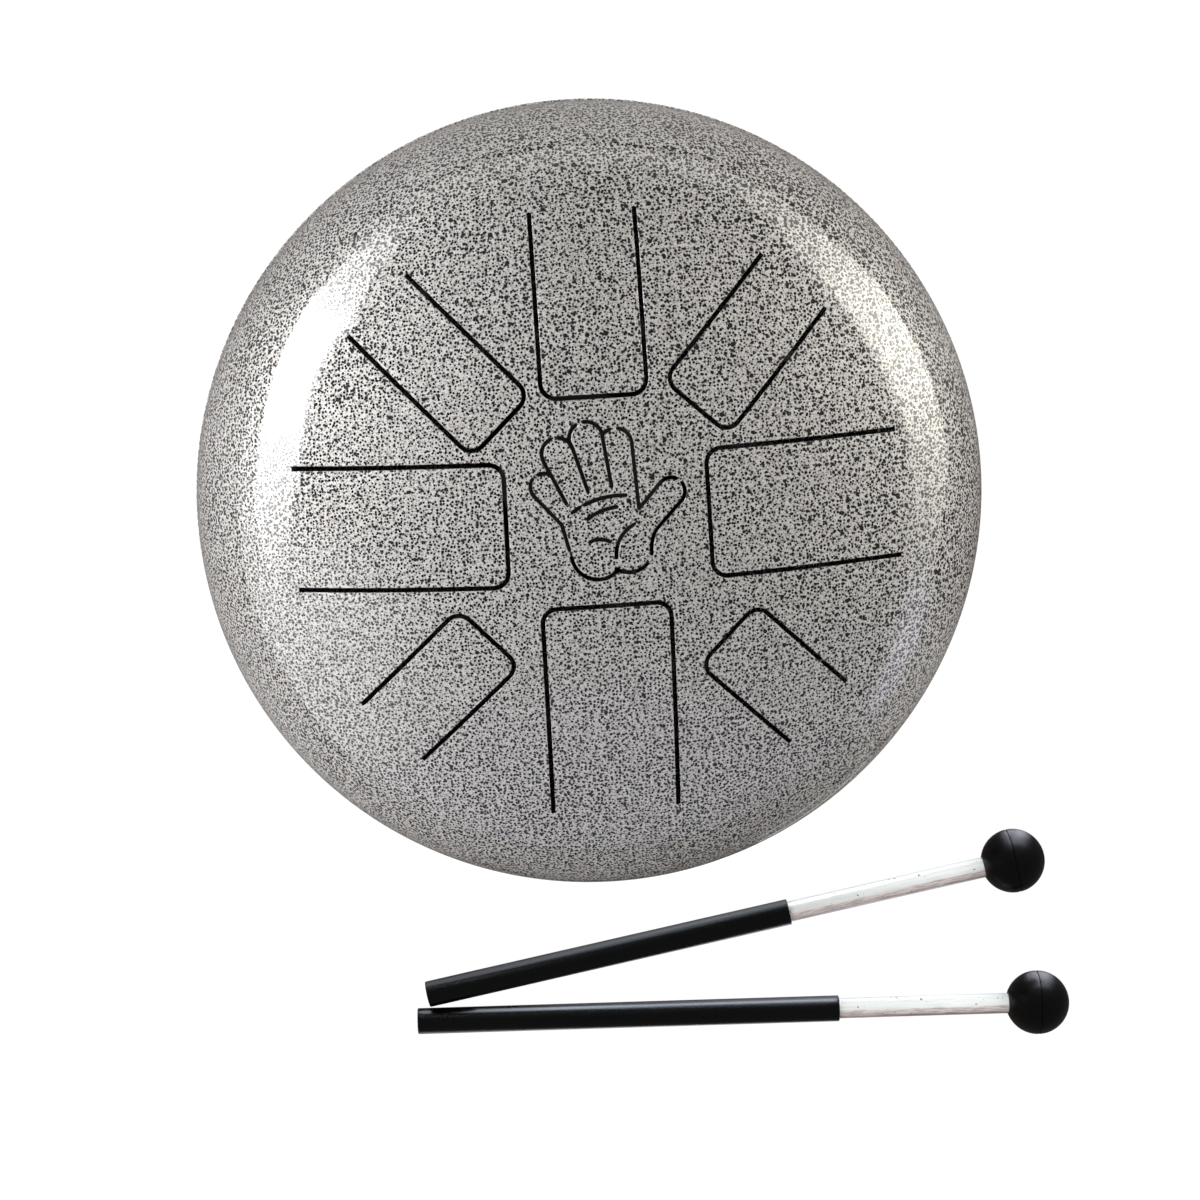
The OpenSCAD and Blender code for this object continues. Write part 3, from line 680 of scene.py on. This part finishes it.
def makeSheet():
    loops, outers = zip(*[slotOutline(k) for k in range(8)])
    palm = handOutlines()
    loops = [*loops, *palm]
    steps = [sideways(loop) for loop in loops]
    edge, turns = sheet["edge"], drum["turns"]
    wide = [loop + edge * step for loop, step in zip(loops, steps)]
    # points, edges and holes of the plan
    circle = [(math.cos(2 * math.pi * i / turns), math.sin(2 * math.pi * i / turns)) for i in range(turns)]
    plan = [(sheet["sheetR"] * c, sheet["sheetR"] * s) for c, s in circle]
    edges = [(i, (i + 1) % turns) for i in range(turns)]
    holes = []
    for loop in wide:
        holes.append(list(range(len(plan), len(plan) + len(loop))))
        plan += [tuple(p) for p in loop]
    for k in range(8):   # the root line of each tongue, from corner to corner
        a, b = holes[k][outers[k]], holes[k][-1]
        line = stretchOf(plan[a], plan[b], sheet["pitch"])[1:]
        chain = [a] + list(range(len(plan), len(plan) + len(line))) + [b]
        plan += line
        edges += list(zip(chain, chain[1:]))
    sides = np.vstack(wide)
    span = np.vstack([np.roll(loop, -1, 0) for loop in wide]) - sides
    length = np.sum(span ** 2, axis=1)
    pitch = sheet["pitch"]
    reach = int(sheet["sheetR"] / pitch) + 2
    for j in range(-reach - 6, reach + 7):
        for i in range(-reach, reach + 1):
            p = np.array([(i + 0.5 * (j % 2)) * pitch, j * pitch * sheet["rowPitch"]])
            if np.linalg.norm(p) > sheet["sheetR"] - sheet["margin"]:
                continue
            share = np.clip(np.sum((p - sides) * span, axis=1) / length, 0, 1)
            if np.min(np.sum((sides + share[:, None] * span - p) ** 2, axis=1)) > sheet["clear"] ** 2:
                plan.append(tuple(p))
    found, _, triangles, origins, _, owners = delaunay_2d_cdt(
        [Vector(p) for p in plan], edges, holes, 0, 1e-6, True)
    place = {source: i for i, sources in enumerate(origins) for source in sources}
    # outer and inner faces
    count = len(found)
    points = [(*p, crownHeight(*p, inset)) for inset in (0, drum["wall"]) for p in found]
    normals = [crownNormal(*p) for p in found]
    normals += [-n for n in normals]
    owned, walls = ({k: [] for k in range(9)} for _ in range(2))   # 0 to 7 are the tongues, 8 is the shell

    def ownerAt(x, y):
        for k in range(8):
            c, s = polar(1, tongueTurn(k))
            inReach = tongueSet["tips"][k] < x * c + y * s < tongueSet["rootR"] + edge
            if inReach and abs(y * c - x * s) < tongueSet["widths"][k] / 2:
                return k
        return 8

    for triangle, owner in zip(triangles, owners):
        if owner:
            continue
        member = owned[ownerAt(*sum((found[i] for i in triangle), Vector((0, 0))) / 3)]
        member += [tuple(triangle), tuple(i + count for i in reversed(triangle))]
    # rounded walls of the cuts
    leans = [math.radians(lean) for lean in sheet["edgeLeans"]]
    for index, (loop, step, hole) in enumerate(zip(loops, steps, holes)):
        size = len(loop)
        rings = [[place[i] for i in hole]]
        for inset, sign in ((0, 1), (drum["wall"], -1)):
            for lean in leans[::sign]:
                off, drop = edge * (1 - math.sin(lean)), edge * (1 - math.cos(lean))
                ring = []
                for (x, y), (sx, sy) in zip(loop, step):
                    px, py = x + sx * off, y + sy * off
                    ring.append(len(points))
                    points.append((px, py, crownHeight(px, py, inset) - sign * drop))
                    aside = Vector((-sx, -sy, 0)).normalized() * math.sin(lean)
                    normals.append((crownNormal(px, py) * sign * math.cos(lean) + aside).normalized())
                rings.append(ring)
        rings.append([place[i] + count for i in hole])
        for ring, (high, low) in enumerate(zip(rings, rings[1:])):
            for i in range(size):
                n = (i + 1) % size
                member = index if index < 8 and outers[index] <= i < size - 1 else 8
                (owned if ring < 2 else walls)[member].append((high[i], high[n], low[n], low[i]))
    # shoulder and skirt
    rings = [[place[i] for i in range(turns)]]
    for radius, height, outwards, upwards in shoulderLine():
        ring = []
        for c, s in circle:
            ring.append(len(points))
            points.append((radius * c, radius * s, height))
            normals.append(Vector((outwards * c, outwards * s, upwards)))
        rings.append(ring)
    rings.append([place[i] + count for i in range(turns)])
    for high, low in zip(rings, rings[1:]):
        owned[8] += [(high[(i + 1) % turns], high[i], low[i], low[(i + 1) % turns]) for i in range(turns)]
    print("sheet:", len(palm), "outlines in the hand figure,", len(points), "points")
    return points, normals, owned, walls


def makeTopPieces():
    points, normals, owned, walls = makeSheet()
    for k in range(9):
        faces = owned[k] + walls[k]
        used = sorted({i for face in faces for i in face})
        short = {old: new for new, old in enumerate(used)}
        name = "topShell" if k == 8 else f"tongue{k + 1}"
        piece = newPiece(name, [points[i] for i in used], [[short[i] for i in face] for face in faces],
                         shellPaint)
        piece.data.materials.append(cutScale)
        # the cut walls take the dark finish, which paints the shade inside the narrow cuts as well as their
        # dark paint
        piece.data.polygons.foreach_set("material_index", [0] * len(owned[k]) + [1] * len(walls[k]))
        work = bmesh.new()
        work.from_mesh(piece.data)
        bmesh.ops.holes_fill(work, edges=[e for e in work.edges if e.is_boundary])
        if any(e.is_boundary for e in work.edges):
            print("open edges on", name)
        work.to_mesh(piece.data)
        work.free()
        piece.data.shade_smooth()
        piece.data.normals_split_custom_set_from_vertices([normals[i] for i in used])
        if k == 8:
            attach(piece, "drum")
            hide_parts("top_shell")
        else:
            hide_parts(f"tongue_{k + 1}")
            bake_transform(piece)


makeTopPieces()
print("top shell and tongues made")

# Bottom shell, weld bead, sound hole trim

soundHole = {"radius": 31.0, "trim": 1.8, "reach": 6.0}
bead = {"radius": 2.2, "proud": 0.5, "ripples": 330, "stepsEach": 5, "profile": 18, "depth": 0.16}


def makeBottomShell():
    wall, outline = drum["wall"], []
    for inset, sign in ((0.0, 1), (wall, -1)):
        radius = drum["crownR"] - inset
        low = math.degrees(math.asin(soundHole["radius"] / radius)) - 90
        high = math.degrees(tangentAngle) - 90
        side = arc((0, drum["groundGap"] + drum["crownR"]), radius, low, high, 30)
        side += arc((shoulderX, seamZ - drum["skirt"]), drum["shoulderR"] - inset, high, 0, 26)[1:]
        side.append((drum["rimR"] - inset, seamZ))
        outline += side if sign > 0 else side[::-1]
    piece = lathe("bottomShell", outline, shellPaint, drum["turns"])
    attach(piece, "drum")
    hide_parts("bottom_shell")


def newTree(name, inputs):   # a Geometry Nodes tree, with the material as its last input
    tree = bpy.data.node_groups.new(name, "GeometryNodeTree")
    inputs = {"Geometry": "Geometry", **inputs, "Material": "Material"}
    for label, kind in inputs.items():
        tree.interface.new_socket(name=label, in_out="INPUT", socket_type="NodeSocket" + kind)
    tree.interface.new_socket(name="Geometry", in_out="OUTPUT", socket_type="NodeSocketGeometry")
    graph = Graph(tree)
    start = graph.add("NodeGroupInput")
    return graph, {label: start.other(label) for label in inputs}


def finishTree(graph, shape, given):
    shape = graph.add("GeometryNodeRealizeInstances", {"Geometry": shape})
    shape = graph.add("GeometryNodeSetMaterial", {"Geometry": shape, "Material": given["Material"]})
    graph.add("NodeGroupOutput", {"Geometry": shape})
    return graph.tree


def grown(piece, tree, values):   # the piece with the tree applied, as a plain mesh at the origin
    modifier = piece.modifiers.new(tree.name, "NODES")
    modifier.node_group = tree
    for item in tree.interface.items_tree:
        if item.in_out == "INPUT" and item.name in values:
            modifier[item.identifier] = values[item.name]
    bpy.context.view_layer.update()
    mesh = bpy.data.meshes.new_from_object(piece.evaluated_get(bpy.context.evaluated_depsgraph_get()))
    piece.modifiers.remove(modifier)
    piece.data = mesh
    return piece


def beadTree():
    graph, given = newTree("weldRipples", {
        "Ring radius": "Float", "Bead radius": "Float", "Ripples": "Int", "Steps each": "Int",
        "Profile steps": "Int", "Ripple depth": "Float", "Height": "Float"})
    ripples, radius = given["Ripples"], given["Bead radius"]
    ring = graph.add("GeometryNodeCurvePrimitiveCircle", {
        "Resolution": ripples * given["Steps each"], "Radius": given["Ring radius"]})
    section = graph.add("GeometryNodeCurvePrimitiveCircle", {
        "Resolution": given["Profile steps"], "Radius": radius})
    shape = graph.add("GeometryNodeCurveToMesh", {"Curve": ring, "Profile Curve": section})
    x, y, z = graph.parts(graph.add("GeometryNodeInputPosition"))
    side = z / radius
    phase = y.math("ARCTAN2", y, x) * ripples / (2 * math.pi) + 0.9 * side * side
    wave = phase.math("FRACT", phase)
    dip = (1.0 - wave) * (1.0 - wave) * given["Ripple depth"]
    inward = graph.vector("SCALE", graph.add("GeometryNodeInputNormal"), 0.0 - dip)
    shape = graph.add("GeometryNodeSetPosition", {"Geometry": shape, "Offset": inward})
    lift = graph.add("CombineXYZ", {"Z": given["Height"]})
    shape = graph.add("GeometryNodeTransform", {"Geometry": shape, "Translation": lift})
    return finishTree(graph, shape, given)


def makeBead():
    piece = newPiece("weldBead", [(0, 0, 0)], [], weldPaint)
    grown(piece, beadTree(), {
        "Ring radius": (drum["rimR"] + bead["proud"] - bead["radius"]) / 1000,
        "Bead radius": bead["radius"] / 1000, "Ripples": bead["ripples"],
        "Steps each": bead["stepsEach"], "Profile steps": bead["profile"],
        "Ripple depth": bead["depth"] / 1000, "Height": seamZ / 1000, "Material": weldPaint})
    outward(piece).data.shade_smooth()
    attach(piece, "drum")
    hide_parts("weld_bead")


def makeTrim():   # a rubber channel clipped over the edge of the hole
    lean = math.asin(soundHole["radius"] / drum["crownR"])
    middle = drum["crownR"] - drum["wall"] / 2
    rimZ = drum["groundGap"] + drum["crownR"] - middle * math.cos(lean)
    thick, reach, half = soundHole["trim"], soundHole["reach"], drum["wall"] / 2
    outline = arc((0, 0), half + thick, 90, 270, 14)
    lip = [(reach - 0.7, thick), (reach - 0.2, thick - 0.35), (reach, thick - 0.9), (reach, 0.02), (0, 0.02)]
    outline += [(x, -half - y) for x, y in lip] + [(x, half + y) for x, y in reversed(lip)]
    c, s = math.cos(lean), math.sin(lean)
    outline = [(soundHole["radius"] + x * c - y * s, rimZ + x * s + y * c) for x, y in outline]
    piece = lathe("soundHoleTrim", outline, trimRubber, 240)
    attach(piece, "drum")
    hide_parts("sound_hole_trim")


makeBottomShell()
makeBead()
makeTrim()
print("bottom shell, weld bead and trim made")

# Feet, with their washers, screws and nuts

foot = {"placeR": 61.0, "turn": 45.0, "count": 4, "topD": 23.0, "endD": 20.0, "endR": 20.0, "flat": 0.3,
        "seat": 5.0, "recess": 9.6, "hole": 4.4, "cupD": 9.2, "cupT": 0.7, "cupH": 1.8}
footLean = math.asin(foot["placeR"] / drum["crownR"])


def placingTree():
    graph, given = newTree("setOnDome", {
        "Count": "Int", "Turn": "Float", "Lean": "Float", "Centre height": "Float"})
    lift = graph.add("CombineXYZ", {"Z": given["Centre height"]})
    spots = graph.add("GeometryNodePoints", {"Count": given["Count"], "Position": lift})
    turn = given["Turn"] + graph.add("GeometryNodeInputIndex") * (2 * math.pi) / given["Count"]
    angles = graph.add("CombineXYZ", {"Y": math.pi - given["Lean"], "Z": turn})
    copies = graph.add("GeometryNodeInstanceOnPoints", {
        "Points": spots, "Instance": given["Geometry"], "Rotation": angles})
    return finishTree(graph, copies, given)


def setOnDome(piece, tree, material, nodes):
    grown(piece, tree, {"Count": foot["count"], "Turn": math.radians(foot["turn"]), "Lean": footLean,
                        "Centre height": (drum["groundGap"] + drum["crownR"]) / 1000, "Material": material})
    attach(piece, "drum")
    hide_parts(*[f"{nodes}_{k}" for k in range(1, 5)])


def makeFeet():
    crown, endR, low = drum["crownR"], foot["endR"], foot["seat"]
    top, end, recess, hole = (foot[size] / 2 for size in ("topD", "endD", "recess", "hole"))
    endZ = (drum["groundGap"] + crown - endR + foot["flat"]) / math.cos(footLean) - crown
    sideZ = endZ + math.sqrt(endR ** 2 - end ** 2)

    def seat(radius):
        return math.sqrt(crown * crown - radius * radius) - crown

    outline = [(hole, seat(hole)), (top * 0.55, seat(top * 0.55)), (top - 0.5, seat(top - 0.5)),
               (top - 0.12, seat(top) + 0.12), (top, seat(top) + 0.6),
               (end + 0.10, sideZ - 1.0), (end - 0.05, sideZ - 0.35)]
    outer, inner = (math.degrees(math.acos(radius / endR)) for radius in (end - 0.5, recess + 0.45))
    outline += arc((0, endZ), endR, outer, inner, 14)
    mouth = endZ + math.sqrt(endR ** 2 - recess ** 2)
    outline += [(recess + 0.13, mouth - 0.12), (recess, mouth - 0.5), (recess, low + 0.3),
                (recess - 0.3, low), (hole, low)]
    piece = lathe("feet", [(r, z + crown) for r, z in outline], footRubber, 96)
    back = Matrix.Rotation(math.pi - footLean, 3, "Y")
    up = back.transposed() @ Vector((0, 0, 1))
    for v in piece.data.vertices:   # flattened where it stands
        height = (back @ v.co).z + (drum["groundGap"] + crown) / 1000
        v.co -= up * min(height, 0.0)
    tree = placingTree()
    setOnDome(piece, tree, footRubber, "foot")
    cup, thick, high, seatZ = foot["cupD"] / 2, foot["cupT"], foot["cupH"], low + crown
    outline = rounded([(hole, 0, 0.1), (cup - 0.3, 0, 0.3), (cup, high, 0.12), (cup - thick / 2, high, 0.12),
                       (cup - thick / 2 - 0.2, thick, 0.2), (hole, thick, 0.12)])
    cups = lathe("cupWashers", [(r, z + seatZ) for r, z in outline], zincSteel, 64)
    setOnDome(cups, tree, zincSteel, "cup_washer")
    for k in range(1, 5):
        for node, material in (("foot_screw", screwSteel), ("foot_nut", screwSteel),
                               ("inner_washer", zincSteel)):
            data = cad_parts[f"{node}_{k}"].data
            data.materials.clear()
            data.materials.append(material)


makeFeet()
print("feet made")

# Mallets


def makeMallet(i):
    ball, tube, grip = (mallet[size] / 2 for size in ("ballD", "tubeD", "gripD"))
    length, wall, end = mallet["lens"][i], mallet["tubeWall"], mallet["grips"][i]
    # it lies on its ball and on its grip's rear edge, and the lathe's Z runs forward
    slope = math.asin(ball / math.hypot(length, grip)) - math.atan2(grip, length)
    point = (-mallet["lefts"][i], -mallet["fronts"][i], grip * math.cos(slope))
    heading = math.radians(mallet["headings"][i])
    turning = Matrix.Rotation(heading, 4, "Z") @ Matrix.Rotation(-slope, 4, "Y")
    place = Matrix.Translation(point) @ turning @ Matrix.Rotation(math.pi / 2, 4, "Y")
    local = (tuple(c / 1000 for c in point), -slope, heading)
    ballRubber = rubberFinish(f"ballRubber{i + 1}", (0.0008, 0.0008, 0.001), 0.32, 700.0, 0.26, local)
    gripRubber = rubberFinish(f"gripRubber{i + 1}", (0.0008, 0.001, 0.0014), 0.24, 1200.0, 0.32, local, True)
    tubeMetal = aluminiumWithPaintedShade(f"tubeAluminium{i + 1}", local)
    # ball: a groove at the parting line, and a socket for the tube
    mouth = math.degrees(math.acos(tube / ball))
    half = math.degrees(mallet["grooveW"] / 2 / ball)
    deep, rear = length - ball + mallet["socket"], length - ball * math.sin(math.radians(mouth))
    outline = [(0, deep), (tube, deep), (tube, rear + 0.5), (tube + 0.12, rear + 0.12)]
    outline += arc((0, length), ball, -mouth + 1.5, -half - 1.2, 26)
    side, low = mallet["grooveW"] * 0.5, ball - mallet["groove"]
    outline += [(ball - 0.06, length - side), (low, length - 0.1), (low, length + 0.1),
                (ball - 0.06, length + side)]
    outline += arc((0, length), ball, half + 1.2, 90, 34)
    outline[-1] = (0, length + ball)
    head = lathe(f"mallet{i + 1}Head", outline, ballRubber, 128, place, False, 60)
    # tube, then the rubber sleeve over its rear
    back, front = mallet["inset"], deep - 0.02
    outline = rounded([(tube - wall, back, 0.1), (tube - 0.01, back, 0.15), (tube - 0.01, front, 0.1),
                       (tube - wall, front, 0.1)], 2)
    shaft = lathe(f"mallet{i + 1}Tube", outline, tubeMetal, 96, place)
    outline = rounded([(tube, 0, 0.15), (grip, 0, 0.45), (grip, end, 0.35), (tube, end, 0.12)])
    sleeve = lathe(f"mallet{i + 1}Grip", outline, gripRubber, 96, place)
    for piece, slot, node in ((head, "ball_rubber", "head"), (shaft, "tube_aluminium", "tube"),
                              (sleeve, "grip_rubber", "grip")):
        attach(piece, f"mallet_{i + 1}")
        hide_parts(f"mallet_{i + 1}_{node}")


makeMallet(0)
makeMallet(1)
print("mallets made")

# every mesh but the gleams is lit
meshes = [o for o in bpy.data.objects if o.type == "MESH"]
for piece in [o for o in meshes if o.light_linking.receiver_collection is None]:
    lit["malletsLit" if piece.name.startswith("mallet") else "drumLit"].objects.link(piece)
    if piece.name.startswith("mallet"):
        part = "Ball" if piece.name.endswith("Head") else "Shaft"
        lit[part.lower() + "sLit"].objects.link(piece)
        lit[("lower" if "1" in piece.name else "upper") + part + "Lit"].objects.link(piece)
